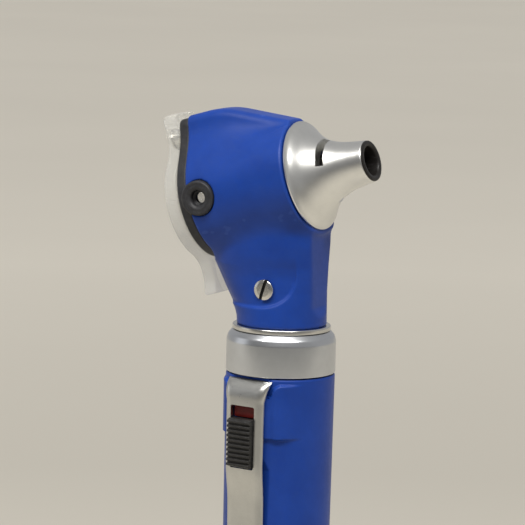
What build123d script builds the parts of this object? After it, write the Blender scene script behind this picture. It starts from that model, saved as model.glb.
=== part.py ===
from build123d import *
import math
import os

os.makedirs("parts", exist_ok=True)

# ---------------------------------------------------------------- driving sizes (mm)
ZC = 126.0            # underside of the collar ring above the foot
VIEW_TILT = 16.5      # rise of the viewing axis toward the patient (deg)
RIM_X = 5.0           # centre of the trumpet rim
RIM_Z = 36.06         # above the collar's underside
CLIP_AZ = -9.0        # clip turned about the handle axis (deg)
CLIP_HALF = 3.95      # half width of the pocket clip

HANDLE_R_TOP = 9.95
HANDLE_R_BOTTOM = 9.35
HANDLE_BORE_R = 7.60
HANDLE_Z0 = 12.45
HANDLE_Z1 = ZC - 0.25

CELL_R = 7.25
CELL_LEN = 50.5
CELL_Z0 = 9.0

CAP_R = 9.55
CAP_H = 12.0
CAP_SPIGOT_R = 8.40
CAP_SPIGOT_TOP = 19.0
CAP_BORE_R = 7.42

COLLAR_R = 10.0
COLLAR_BORE_R = 7.06
SPIGOT_R = 7.00
NECK_R = 8.2
NECK_Z = ZC + 8.63

SCREW_Z = ZC + 15.65
SCREW_HEAD_R = 1.90
SIDE_FLAT = 7.35

RIM_R = 10.0
TIP_T = 12.7
TIP_BORE_R = 2.65
FRAME_Q0 = 20.0
FRAME_Q1 = 22.0
WINDOW_R = 8.2
LENS_Q0 = 22.3
LENS_Q1 = 24.8
LENS_R = 10.4
PIVOT_S = 12.3
PIVOT_R = 1.70
PORT_Q = 17.8
PORT_S = 0.65
PORT_R = 1.45

a = math.radians(VIEW_TILT)
AXIS = Vector(math.cos(a), 0, math.sin(a))
UP = Vector(-math.sin(a), 0, math.cos(a))
RC = Vector(RIM_X, 0, ZC + RIM_Z)
# local frame of the viewing axis: x = -Y, y = up across the axis, z = rearward
VIEW = Plane(origin=RC, x_dir=(0, -1, 0), z_dir=-AXIS)


def cyl(r, z0, z1, x=0.0, y=0.0):
    return Pos(x, y, (z0 + z1) / 2) * Cylinder(r, z1 - z0)


def tube(ro, ri, z0, z1):
    return cyl(ro, z0, z1) - cyl(ri, z0 - 1, z1 + 1)


def box(x0, x1, y0, y1, z0, z1):
    return Pos((x0 + x1) / 2, (y0 + y1) / 2, (z0 + z1) / 2) * Box(x1 - x0, y1 - y0, z1 - z0)


def turned(points):
    """Solid turned about the local Z axis from (radius, z) points."""
    edge = Polyline(*[(r, 0, z) for r, z in points], close=True)
    return revolve(make_face(edge), axis=Axis.Z, revolution_arc=360)


def ycyl(r, y0, y1, x, z):
    return Pos(x, (y0 + y1) / 2, z) * Rot(90, 0, 0) * Cylinder(r, abs(y1 - y0))


def on_view(shape):
    return VIEW * shape


def spline_face(points, plane):
    curve = Spline(*points, periodic=True)
    return plane * make_face(curve)


def save(shape, name):
    shape.label = name
    export_step(shape, "parts/" + name + ".step")


# ---------------------------------------------------------------- head shell
HALF = [(15.80, 0.0), (15.72, 2.2), (15.2, 3.6), (13.9, 4.25), (11.9, 5.05), (10.3, 6.1),
        (8.6, 7.7), (6.8, 9.1), (5.1, 10.2), (3.2, 10.75), (0.2, 10.8), (-2.6, 10.35),
        (-4.6, 9.65), (-6.6, 8.45), (-8.5, 6.4), (-9.9, 3.5), (-10.5, 0.0)]


def keyhole_points(shrink=0.0):
    right = []
    n = len(HALF)
    for i, (s, w) in enumerate(HALF):
        p = HALF[max(i - 1, 0)]
        q = HALF[min(i + 1, n - 1)]
        ts, tw = q[0] - p[0], q[1] - p[1]
        if i == 0 or i == n - 1:
            ts, tw = 0.0, 1.0 if i == 0 else -1.0
        ln = math.hypot(ts, tw)
        ns, nw = tw / ln, -ts / ln
        right.append((w - shrink * nw, s - shrink * ns))
    left = [(-x, y) for x, y in right[1:-1]]
    return right + left[::-1]


key = keyhole_points()
circle_pts = []
for x, y in key:
    ang = math.atan2(y, x)
    circle_pts.append((10.4 * math.cos(ang), 10.4 * math.sin(ang)))

body_rear = extrude(make_face(Spline(*key, periodic=True)), amount=7.0)
body_rear = Pos(0, 0, 13.0) * body_rear
body_front = loft([Pos(0, 0, 13.0) * make_face(Spline(*key, periodic=True)),
                   Pos(0, 0, 0.3) * make_face(Spline(*circle_pts, periodic=True))], ruled=True)
drum = on_view(body_rear) + on_view(body_front)


def section(z, xr, xf, w, p):
    pts = []
    cx, ax = (xr + xf) / 2, (xf - xr) / 2
    for k in range(24):
        t = 2 * math.pi * k / 24
        c, s = math.cos(t), math.sin(t)
        pts.append((cx + ax * math.copysign(abs(c) ** (2 / p), c),
                    w * math.copysign(abs(s) ** (2 / p), s)))
    return Pos(0, 0, z) * make_face(Spline(*pts, periodic=True))


lower_full = loft([section(NECK_Z, -8.2, 8.2, 8.2, 2.0),
                   section(ZC + 10.6, -8.35, 8.32, 8.15, 2.0),
                   section(ZC + 15.0, -10.7, 8.66, 7.95, 2.15),
                   section(ZC + 19.6, -13.12, 8.88, 7.95, 2.3),
                   section(ZC + 23.5, -12.1, 8.95, 7.95, 2.3),
                   section(ZC + 29.0, -11.0, 8.95, 7.95, 2.3)], ruled=True)
# the throat's front stops under the trumpet's rim
lower_full = lower_full - on_view(Pos(0, 0, -9.85) * Cylinder(10.5, 20.3))
lower_full = lower_full - (on_view(Pos(0, 0, -19.7) * Box(60, 60, 40)) & box(-20, 30, -20, 20, ZC + 25.8, ZC + 40))
for side in (-1, 1):
    y0, y1 = (SIDE_FLAT, 12.0) if side > 0 else (-12.0, -SIDE_FLAT)
    lower_full = lower_full - ycyl(6.0, y0, y1, 0, SCREW_Z)
    lower_full = lower_full - box(-6.0, 6.0, y0, y1, SCREW_Z, SCREW_Z + 12)

behind = on_view(Pos(0, 0, 21.9 + 20) * Box(80, 80, 40))
lower = lower_full - behind

cavity = turned([(0, -2), (8.6, -2), (8.6, 3.0), (7.9, 3.0), (8.3, 20), (8.3, 24), (0, 24)])
cavity = on_view(cavity)
lamp_bore = cyl(6.2, ZC + 5, ZC + 31)

px = RC - AXIS * PORT_Q + UP * PORT_S
lug_cut = ycyl(3.2, -14, -6.5, px.X, px.Z)
head_shell = drum + lower
head_shell = head_shell - cavity - lamp_bore - lug_cut
for side in (-1, 1):
    head_shell = head_shell - ycyl(1.0, 4.0 * side, 9.5 * side, 0, SCREW_Z)
pin_hole = on_view(Pos(0, PIVOT_S, 20) * Cylinder(PIVOT_R, 8))
head_shell = head_shell - pin_hole
head_shell = head_shell.solids().sort_by(SortBy.VOLUME)[-1]
save(head_shell, "head_shell")

# ---------------------------------------------------------------- window frame with port
frame = on_view(Pos(0, 0, FRAME_Q0) * extrude(make_face(Spline(*keyhole_points(0.35), periodic=True)),
                                             amount=FRAME_Q1 - FRAME_Q0))
lug = ycyl(3.2, -11.15, -8.75, px.X, px.Z)
web = on_view(Pos(9.75, PORT_S, FRAME_Q0 + 0.2) * Box(1.7, 5.6, 2.2))
cut_lower = lower_full & on_view(Pos(0, 0, 21.0) * Box(60, 60, 4))
frame = frame + lug + (web & ycyl(3.2, -11.15, -8.75, px.X, px.Z))
frame = frame - cut_lower
window = on_view(Pos(0, 0, 21) * Cylinder(WINDOW_R, 16))
frame = frame - on_view(turned([(0, 10), (8.3, 10), (8.3, 20.8), (WINDOW_R, 20.8), (WINDOW_R, 24), (0, 24)]))
frame = frame - ycyl(PORT_R, -12, -9.75, px.X, px.Z) - ycyl(0.98, -12, -6, px.X, px.Z)
frame = frame - (Pos(px.X, -11.15 + 0.175, px.Z) * Rot(90, 0, 0) * Cone(PORT_R, 2.0, 0.35))
frame = frame - pin_hole
frame = frame.solids().sort_by(SortBy.VOLUME)[-1]
save(frame, "window_frame")

# ---------------------------------------------------------------- trumpet cone and sleeve
OUT = [(0.0, 10.0), (0.35, 10.0), (1.2, 8.9), (2.2, 7.7), (3.2, 6.75), (4.3, 5.9), (5.5, 5.25),
       (7.0, 4.7), (9.0, 4.25), (11.0, 3.95), (12.3, 3.80), (12.7, 3.72)]
trumpet = [(r, -t) for t, r in OUT]
inner = [(3.2, -12.7), (3.2, -7.0), (3.7, -5.5), (4.6, -3.4), (5.9, -1.2), (6.1, 2.3), (7.15, 2.3), (7.15, 0.0)]
cone = turned(trumpet + inner)
for turn in (0, 180):
    arc_a, arc_b = 12.0, 90.0
    sector = [(0.0, 0.0)]
    for k in range(9):
        t = math.radians(arc_a + (arc_b - arc_a) * k / 8)
        sector.append((14 * math.cos(t), 14 * math.sin(t)))
    wedge = Pos(0, 0, -5.5) * extrude(make_face(Polyline(*sector, close=True)), amount=1.25)
    wedge = wedge - Pos(0, 0, -5) * Cylinder(3.35, 4)
    cone = cone - Rot(0, 0, turn) * wedge
cone = on_view(cone)
cone = cone.solids().sort_by(SortBy.VOLUME)[-1]
save(cone, "speculum_cone")

# threaded seat in the shell's mouth that the cone screws into
save(on_view(turned([(8.6, 0.3), (8.6, 3.0), (7.2, 3.0), (7.2, 0.3)])), "cone_seat_ring")

sleeve = turned([(3.2, -12.55), (3.2, -2.6), (TIP_BORE_R, -2.6), (TIP_BORE_R, -12.1), (3.0, -12.55)])
save(on_view(sleeve), "cone_inner_sleeve")
save(on_view(turned([(9.45, 0.0), (9.45, 0.28), (7.25, 0.28), (7.25, 0.0)])), "cone_gasket")

# ---------------------------------------------------------------- magnifier lens, pin, washer
lens_plate = Cylinder(LENS_R, LENS_Q1 - LENS_Q0)
neck_pts = [(-4.3, 0), (-4.3, 14.6), (-3.9, 16.1), (-2.6, 16.9), (2.6, 16.9), (3.9, 16.1), (4.3, 14.6), (4.3, 0)]
tab_pts = [(-5.2, -6.5), (-3.0, -11.8), (-3.0, -14.0), (-3.9, -16.9), (3.9, -16.9), (3.0, -14.0), (3.0, -11.8), (5.2, -6.5)]
t_lens = LENS_Q1 - LENS_Q0
lens_plate = Pos(0, 0, t_lens / 2) * lens_plate
lens_plate = lens_plate + extrude(make_face(Polyline(*neck_pts, close=True)), amount=t_lens)
lens_plate = lens_plate + extrude(make_face(Polyline(*tab_pts, close=True)), amount=t_lens)
lens_plate = lens_plate + Pos(0, 15.7, t_lens + 0.25) * Box(7.0, 1.9, 0.5)
R_DOME = 45.0
sag = R_DOME - math.sqrt(R_DOME ** 2 - 8.2 ** 2)
dome = Pos(0, 0, t_lens + sag - R_DOME) * Sphere(R_DOME)
dome = dome & (Pos(0, 0, t_lens + 0.5) * Cylinder(8.3, 1.2))
lens_plate = lens_plate + dome
lens_plate = lens_plate - Pos(0, PIVOT_S, 0) * Cylinder(PIVOT_R + 0.05, 20)
lens = on_view(Pos(0, 0, LENS_Q0) * lens_plate)
lens = lens.solids().sort_by(SortBy.VOLUME)[-1]
save(lens, "magnifier_lens")

pin = Pos(0, PIVOT_S, (16.5 + 24.95) / 2) * Cylinder(PIVOT_R, 24.95 - 16.5)
pin = pin + Pos(0, PIVOT_S, 25.15) * Cylinder(2.15, 0.4)
save(on_view(pin), "lens_pivot_pin")
washer = Pos(0, PIVOT_S, 22.12) * (Cylinder(3.0, 0.24) - Cylinder(PIVOT_R, 2))
save(on_view(washer), "lens_washer")

# ---------------------------------------------------------------- head screws
screws = []
for side in (-1, 1):
    h = ycyl(SCREW_HEAD_R, SIDE_FLAT * side, (SIDE_FLAT + 0.75) * side, 0, SCREW_Z)
    h = h + ycyl(1.0, 5.3 * side, SIDE_FLAT * side, 0, SCREW_Z)
    slot = Pos(0, (SIDE_FLAT + 0.75) * side, SCREW_Z) * Rot(0, 17, 0) * Box(0.55, 0.8, 6)
    screws.append((h - slot).solids()[0])
save(Compound(screws), "head_screws")

# ---------------------------------------------------------------- neck insert and ring
insert = cyl(SPIGOT_R, ZC + 0.5, NECK_Z) + cyl(6.2, NECK_Z, ZC + 18.0)
insert = insert - cyl(5.2, ZC, ZC + 19)
for side in (-1, 1):
    insert = insert - ycyl(1.0, 4.0 * side, 9.0 * side, 0, SCREW_Z)
for k in range(6):
    z = ZC + 1.4 + k * 1.0
    insert = insert - (cyl(8.0, z - 0.18, z + 0.18) - cyl(6.75, z - 0.5, z + 0.5))
save(insert, "neck_insert")
ring = turned([(7.0, ZC + 7.7), (8.85, ZC + 7.7), (9.0, ZC + 7.85), (9.0, ZC + 8.5), (8.87, NECK_Z), (7.0, NECK_Z)])
save(ring, "neck_ring")

# ---------------------------------------------------------------- lamp
save(tube(5.2, 3.1, ZC + 3.6, ZC + 16.0), "lamp_insulator")
lamp_cap = turned([(0, ZC + 4.4), (2.6, ZC + 4.4), (2.6, ZC + 5.6), (3.1, ZC + 6.0), (3.1, ZC + 18.2),
                   (3.6, ZC + 18.2), (3.6, ZC + 19.2), (2.75, ZC + 19.2), (2.75, ZC + 17.6), (0, ZC + 17.6)])
save(lamp_cap, "lamp_cap")
bulb = cyl(2.5, ZC + 17.6, ZC + 25.0) + Pos(0, 0, ZC + 25.0) * Sphere(2.5)
save(bulb, "lamp_bulb")
save(cyl(1.3, ZC + 2.4, ZC + 4.0) + cyl(2.0, ZC + 4.0, ZC + 4.3), "lamp_contact")

# ---------------------------------------------------------------- collar ring
collar = turned([(COLLAR_BORE_R, ZC), (9.85, ZC), (10.0, ZC + 0.15), (10.0, ZC + 5.75), (9.9, ZC + 6.15),
                 (9.62, ZC + 6.75), (9.25, ZC + 7.25), (8.9, ZC + 7.6), (COLLAR_BORE_R, ZC + 7.6)])
collar = collar + tube(HANDLE_BORE_R, COLLAR_BORE_R, ZC - 4.5, ZC)
save(collar, "collar_ring")

# ---------------------------------------------------------------- handle tube
tube_outer = turned([(0, HANDLE_Z0), (HANDLE_R_BOTTOM - 0.25, HANDLE_Z0), (HANDLE_R_BOTTOM, HANDLE_Z0 + 0.25),
                     (9.8, ZC - 28.0), (HANDLE_R_TOP, ZC - 1.0), (HANDLE_R_TOP - 0.15, HANDLE_Z1), (0, HANDLE_Z1)])
saddle = Pos(0, -0.95, ZC - 6.15) * Cylinder(HANDLE_R_TOP, 10.3)
saddle = chamfer(saddle.edges().filter_by(GeomType.CIRCLE), 0.4)
handle = tube_outer + Rot(0, 0, CLIP_AZ) * saddle
handle = handle - cyl(HANDLE_BORE_R, 0, ZC + 1) - cyl(CAP_SPIGOT_R + 0.06, 0, CAP_SPIGOT_TOP + 0.3)
clip_pocket = box(-4.15, 4.15, -14, -10.12, ZC - 19.5, ZC + 1)
top_relief = box(-4.15, 4.15, -14, -8.8, ZC - 3.5, ZC + 1)
blade_pocket = box(-4.4, 4.4, -14, -8.8, ZC - 68.8, ZC - 16.9)
wall_slot = box(-1.55, 1.55, -14, -5, ZC - 14.4, ZC - 7.45)
for cut in (clip_pocket, top_relief, blade_pocket, wall_slot):
    handle = handle - Rot(0, 0, CLIP_AZ) * cut
handle = handle.solids().sort_by(SortBy.VOLUME)[-1]
save(handle, "handle_tube")

# ---------------------------------------------------------------- pocket clip, drawn facing -Y
def plate(profile, half_width, name=None):
    """Strip of constant width: profile points are (distance from the axis, z)."""
    f = make_face(Polyline(*[(-half_width, -n, z) for n, z in profile], close=True))
    return extrude(f, amount=2 * half_width, dir=(1, 0, 0))


def flipz(points):
    return [(n, ZC + z) for n, z in points]


head_prof = flipz([(9.75, -0.55), (10.35, -0.95), (10.95, -1.75), (11.35, -2.7), (11.5, -3.7), (11.5, -16.6),
                   (11.4, -17.8), (11.22, -18.95), (9.95, -18.95), (10.17, -17.0), (10.17, -3.3),
                   (9.95, -2.2), (9.5, -1.5), (8.95, -1.2), (8.95, -0.55)])
clip_head = plate(head_prof, CLIP_HALF)
clip_head = clip_head - box(-2.6, 2.6, -14, -5, ZC - 16.7, ZC - 5.2)
long_edges = clip_head.edges().filter_by(Axis.Z).filter_by(lambda e: abs(abs(e.center().X) - CLIP_HALF) < 0.01
                                                           and e.center().Y < -11.4)
if len(long_edges) > 0:
    clip_head = chamfer(long_edges, 0.45)
clip_head = Rot(0, 0, CLIP_AZ) * clip_head
save(clip_head, "clip_head")

blade_prof = flipz([(11.18, -19.15), (10.8, -22.0), (10.62, -30.0), (10.55, -50.0), (10.5, -66.0), (10.75, -70.0),
                    (11.05, -73.0), (11.4, -76.0), (11.0, -76.4), (10.2, -75.0), (9.78, -72.5), (9.78, -70.5),
                    (9.35, -66.5), (9.4, -50.0), (9.45, -30.0), (9.6, -22.0), (9.92, -19.15)])
clip_blade = plate(blade_prof, CLIP_HALF - 0.05)
clip_blade = Rot(0, 0, CLIP_AZ) * clip_blade
save(clip_blade, "clip_blade")

# ---------------------------------------------------------------- slide switch
rib_pts = [(10.6, -16.4), (12.25, -16.4)]
n_rib = 10
pitch = 8.9 / n_rib
for k in range(n_rib):
    z0 = -16.4 + k * pitch
    rib_pts += [(12.35, z0 + 0.05), (12.8, z0 + 0.2), (12.8, z0 + 0.55), (12.35, z0 + 0.72)]
rib_pts += [(12.25, -7.5), (10.6, -7.5)]
slider = plate(flipz(rib_pts), 2.48)
slider = slider + box(-1.3, 1.3, -10.6, -8.4, ZC - 14.1, ZC - 10.0)
save(Rot(0, 0, CLIP_AZ) * slider, "switch_slider")
bridge = box(-1.1, 1.1, -8.38, -7.75, ZC - 13.9, ZC - 10.2)
save(Rot(0, 0, CLIP_AZ) * bridge, "switch_bridge")
indicator = box(-2.4, 2.4, -10.5, -10.14, ZC - 7.4, ZC - 5.25)
save(Rot(0, 0, CLIP_AZ) * indicator, "switch_indicator")

# ---------------------------------------------------------------- contacts above the cells
holder = cyl(HANDLE_BORE_R - 0.02, ZC - 13.0, ZC - 4.6) - cyl(1.5, ZC - 14, ZC)
holder = holder - Rot(0, 0, CLIP_AZ) * box(-2.2, 2.2, -9, -1.0, ZC - 15, ZC - 8.4)
save(holder, "contact_holder")
centre = cyl(1.5, ZC - 8.4, ZC + 1.9) + cyl(2.6, ZC - 4.6, ZC - 3.9)
save(centre, "centre_contact")
leaf = box(-2.0, 2.0, -7.2, -1.6, ZC - 9.0, ZC - 8.6) + box(-2.0, 2.0, -7.2, -6.8, ZC - 12.8, ZC - 8.6)
save(Rot(0, 0, CLIP_AZ) * leaf, "switch_leaf")
upper = cyl(5.0, ZC - 15.9, ZC - 15.3) + cyl(2.0, ZC - 15.3, ZC - 13.0)
save(upper, "upper_contact_plate")

# ---------------------------------------------------------------- dry cells and return strip
def cell(z0):
    c = cyl(CELL_R, z0 + 0.3, z0 + CELL_LEN - 1.4)
    c = chamfer(c.edges().filter_by(GeomType.CIRCLE), 0.5)
    c = c + cyl(5.0, z0, z0 + 1.0) + cyl(2.7, z0 + CELL_LEN - 1.6, z0 + CELL_LEN)
    return c


save(cell(CELL_Z0), "cell_lower")
save(cell(CELL_Z0 + CELL_LEN), "cell_upper")
save(box(-1.0, 1.0, 7.28, 7.52, 20.0, ZC - 13.4), "return_strip")

# ---------------------------------------------------------------- tail cap, seal, spring, contact
cap = turned([(0, 0), (8.75, 0), (9.3, 0.25), (CAP_R, 0.8), (CAP_R, CAP_H - 0.25), (CAP_R - 0.25, CAP_H),
              (CAP_SPIGOT_R, CAP_H), (CAP_SPIGOT_R, CAP_SPIGOT_TOP - 0.4), (CAP_SPIGOT_R - 0.4, CAP_SPIGOT_TOP),
              (CAP_BORE_R, CAP_SPIGOT_TOP), (CAP_BORE_R, 2.0), (0, 2.0)])
for k in range(5):
    z = 14.0 + k * 1.0
    cap = cap - (cyl(9.2, z - 0.15, z + 0.15) - cyl(8.15, z - 0.5, z + 0.5))
for k in range(5):
    z = 2.6 + k * 1.8
    cap = cap - (cyl(11, z - 0.25, z + 0.25) - cyl(CAP_R - 0.25, z - 1, z + 1))
save(cap, "tail_cap")
save(tube(9.1, CAP_SPIGOT_R, CAP_H, CAP_H + 0.3), "tail_cap_seal")
save(cyl(6.4, 2.15, 2.95), "tail_contact_cup")
turns_h = 5.0
helix = Helix(pitch=turns_h / 3.5, height=turns_h, radius=4.6)
start = helix @ 0
wire_sec = Plane(origin=start, z_dir=helix % 0) * Circle(0.4)
spring = sweep(wire_sec, path=helix, is_frenet=True)
spring = Pos(0, 0, 3.4) * spring
save(spring, "tail_spring")
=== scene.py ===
import bpy
import bmesh
import math
import numpy as np
from mathutils import Vector, Matrix


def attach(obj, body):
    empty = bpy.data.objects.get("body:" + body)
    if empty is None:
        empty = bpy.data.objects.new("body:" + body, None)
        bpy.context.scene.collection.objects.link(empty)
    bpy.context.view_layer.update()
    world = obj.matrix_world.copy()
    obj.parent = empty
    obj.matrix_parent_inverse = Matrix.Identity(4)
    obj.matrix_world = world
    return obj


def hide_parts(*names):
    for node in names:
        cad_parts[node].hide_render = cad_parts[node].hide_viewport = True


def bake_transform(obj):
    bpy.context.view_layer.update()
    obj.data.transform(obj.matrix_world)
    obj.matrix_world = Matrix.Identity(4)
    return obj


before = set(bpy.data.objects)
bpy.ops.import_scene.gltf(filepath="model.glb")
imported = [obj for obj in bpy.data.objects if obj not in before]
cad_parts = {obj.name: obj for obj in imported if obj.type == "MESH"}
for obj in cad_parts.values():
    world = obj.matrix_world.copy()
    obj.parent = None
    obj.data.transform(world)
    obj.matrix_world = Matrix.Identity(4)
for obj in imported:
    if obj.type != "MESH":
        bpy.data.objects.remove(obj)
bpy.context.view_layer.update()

# ------------------------------------------------------------------ shared geometry (mm)
ZC = 126.0                       # underside of the collar ring
TILT = math.radians(16.5)        # viewing axis above the level
CA, SA = math.cos(TILT), math.sin(TILT)
RC = np.array([5.0, 0.0, ZC + 36.06])
D = np.array([CA, 0.0, SA])
UP = np.array([-SA, 0.0, CA])
YV = np.array([0.0, 1.0, 0.0])
CLIP_AZ = math.radians(-9.0)
NRM = np.array([math.sin(CLIP_AZ), -math.cos(CLIP_AZ), 0.0])
TAN = np.array([math.cos(CLIP_AZ), math.sin(CLIP_AZ), 0.0])
MM = 0.001


def from_view(p):
    """(y, s, q) on the viewing axis -> object frame, mm"""
    p = np.asarray(p, float)
    return RC + p[..., 0:1] * YV + p[..., 1:2] * UP - p[..., 2:3] * D


def from_clip(p):
    """(across, out from the handle axis, z) -> object frame, mm"""
    p = np.asarray(p, float)
    return p[..., 0:1] * TAN + p[..., 1:2] * NRM + p[..., 2:3] * np.array([0.0, 0.0, 1.0])


# ------------------------------------------------------------------ mesh helpers
def make(name, verts, faces, sharp=35.0, flip=False):
    me = bpy.data.meshes.new(name)
    me.from_pydata([tuple(v) for v in (np.asarray(verts) * MM)], [], [tuple(int(i) for i in f) for f in faces])
    me.validate()
    ob = bpy.data.objects.new(name, me)
    bpy.context.scene.collection.objects.link(ob)
    finish_mesh(ob, sharp)
    return ob


def finish_mesh(ob, sharp=35.0):
    me = ob.data
    bm = bmesh.new()
    bm.from_mesh(me)
    bmesh.ops.remove_doubles(bm, verts=bm.verts, dist=1e-8)
    bmesh.ops.recalc_face_normals(bm, faces=bm.faces)
    for f in bm.faces:
        f.smooth = True
    if sharp:
        lim = math.radians(sharp)
        for e in bm.edges:
            if len(e.link_faces) == 2:
                e.smooth = e.calc_face_angle(0.0) < lim
    bm.to_mesh(me)
    bm.free()
    me.update()


def apply_mods(ob, sharp=35.0):
    dg = bpy.context.evaluated_depsgraph_get()
    dg.update()
    me = bpy.data.meshes.new_from_object(ob.evaluated_get(dg), preserve_all_data_layers=False, depsgraph=dg)
    ob.modifiers.clear()
    old = ob.data
    ob.data = me
    bpy.data.meshes.remove(old)
    finish_mesh(ob, sharp)


def cut(ob, cutter, op='DIFFERENCE', sharp=35.0):
    m = ob.modifiers.new("cut", 'BOOLEAN')
    m.operation = op
    m.object = cutter
    m.solver = 'EXACT'
    apply_mods(ob, sharp)
    me = cutter.data
    bpy.data.objects.remove(cutter)
    bpy.data.meshes.remove(me)


def bevel(ob, width_mm, seg=2, angle=30.0, sharp=35.0):
    m = ob.modifiers.new("bevel", 'BEVEL')
    m.width = width_mm * MM
    m.segments = seg
    m.limit_method = 'ANGLE'
    m.angle_limit = math.radians(angle)
    m.miter_outer = 'MITER_ARC'
    apply_mods(ob, sharp)


def fillet(points, seg=4):
    """Closed outline of (a, b, radius) -> points with the corners rounded."""
    out = []
    n = len(points)
    for i, (x, y, r) in enumerate(points):
        p = np.array([x, y])
        a = np.array(points[i - 1][:2])
        b = np.array(points[(i + 1) % n][:2])
        u, v = a - p, b - p
        lu, lv = np.linalg.norm(u), np.linalg.norm(v)
        if r <= 0 or lu < 1e-9 or lv < 1e-9:
            out.append(p)
            continue
        u, v = u / lu, v / lv
        ang = math.acos(max(-1, min(1, float(u @ v))))
        if ang > math.pi - 0.02:
            out.append(p)
            continue
        t = min(r / math.tan(ang / 2), 0.48 * lu, 0.48 * lv)
        rr = t * math.tan(ang / 2)
        c = p + (u + v) / np.linalg.norm(u + v) * (rr / math.sin(ang / 2))
        s, e = p + u * t - c, p + v * t - c
        tot = math.acos(max(-1, min(1, float(s @ e) / (rr * rr + 1e-12))))
        for k in range(seg + 1):
            w = k / seg
            q = (math.sin((1 - w) * tot) * s + math.sin(w * tot) * e) / max(math.sin(tot), 1e-9)
            out.append(c + q)
    return out


def catmull(points, seg):
    pts = [np.array(p, float) for p in points]
    pts = [2 * pts[0] - pts[1]] + pts + [2 * pts[-1] - pts[-2]]
    out = []
    for i in range(1, len(pts) - 2):
        p0, p1, p2, p3 = pts[i - 1:i + 3]
        d1, d2, d3 = (math.sqrt(np.linalg.norm(b - a)) + 1e-9 for a, b in ((p0, p1), (p1, p2), (p2, p3)))
        for k in range(seg):
            t = k / seg * d2
            t0, t1, t2, t3 = -d1, 0.0, d2, d2 + d3
            a1 = (t1 - t) / (t1 - t0) * p0 + (t - t0) / (t1 - t0) * p1
            a2 = (t2 - t) / (t2 - t1) * p1 + (t - t1) / (t2 - t1) * p2
            a3 = (t3 - t) / (t3 - t2) * p2 + (t - t2) / (t3 - t2) * p3
            b1 = (t2 - t) / (t2 - t0) * a1 + (t - t0) / (t2 - t0) * a2
            b2 = (t3 - t) / (t3 - t1) * a2 + (t - t1) / (t3 - t1) * a3
            out.append((t2 - t) / (t2 - t1) * b1 + (t - t1) / (t2 - t1) * b2)
    out.append(pts[-2])
    return out


def lathe(name, outline, seg=192, where='Z', centre=(0.0, 0.0), sharp=35.0):
    """Closed outline of (radius, height) turned about Z, the viewing axis (height = q) or +/-Y."""
    prof = [(max(float(p[0]), 0.0), float(p[1])) for p in outline]
    n = len(prof)
    th = np.linspace(0, 2 * math.pi, seg, endpoint=False)
    verts, idx = [], []
    for r, z in prof:
        if r < 1e-6:
            idx.append([len(verts)] * seg)
            verts.append((0.0, 0.0, z))
        else:
            idx.append(list(range(len(verts), len(verts) + seg)))
            verts += [(r * math.cos(t), r * math.sin(t), z) for t in th]
    faces = []
    for i in range(n):
        a, b = idx[i], idx[(i + 1) % n]
        if prof[i][0] < 1e-6 and prof[(i + 1) % n][0] < 1e-6:
            continue
        for k in range(seg):
            j = (k + 1) % seg
            f = []
            for v in (a[k], a[j], b[j], b[k]):
                if v not in f:
                    f.append(v)
            if len(f) > 2:
                faces.append(f)
    v = np.array(verts)
    if where == 'Z':
        v = v + np.array([centre[0], centre[1], 0.0])
    elif where == 'V':
        v = from_view(np.stack([v[:, 0] + centre[0], v[:, 1] + centre[1], v[:, 2]], 1))
    elif where == 'Y':           # height runs along Y, centre is (x, z)
        v = np.stack([v[:, 0] + centre[0], v[:, 2], v[:, 1] + centre[1]], 1)
    return make(name, v, faces, sharp)


def prism(name, outline, w0, w1, place, sharp=35.0):
    """Outline of (a, b) given as (out, z), pulled across from w0 to w1, placed by place."""
    n = len(outline)
    v = [(w0, a, b) for a, b in outline] + [(w1, a, b) for a, b in outline]
    f = [tuple(range(n))[::-1], tuple(range(n, 2 * n))]
    f += [(i, (i + 1) % n, n + (i + 1) % n, n + i) for i in range(n)]
    return make(name, place(np.array(v, float)), f, sharp)


# ------------------------------------------------------------------ smooth solids from a distance-like field
def smin(a, b, k):
    h = np.maximum(k - np.abs(a - b), 0.0) / k
    return np.minimum(a, b) - h * h * k * 0.25


def smax(a, b, k):
    return -smin(-a, -b, k)


def sstep(a, b, x):
    t = np.clip((x - a) / (b - a), 0.0, 1.0)
    return t * t * (3 - 2 * t)


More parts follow.
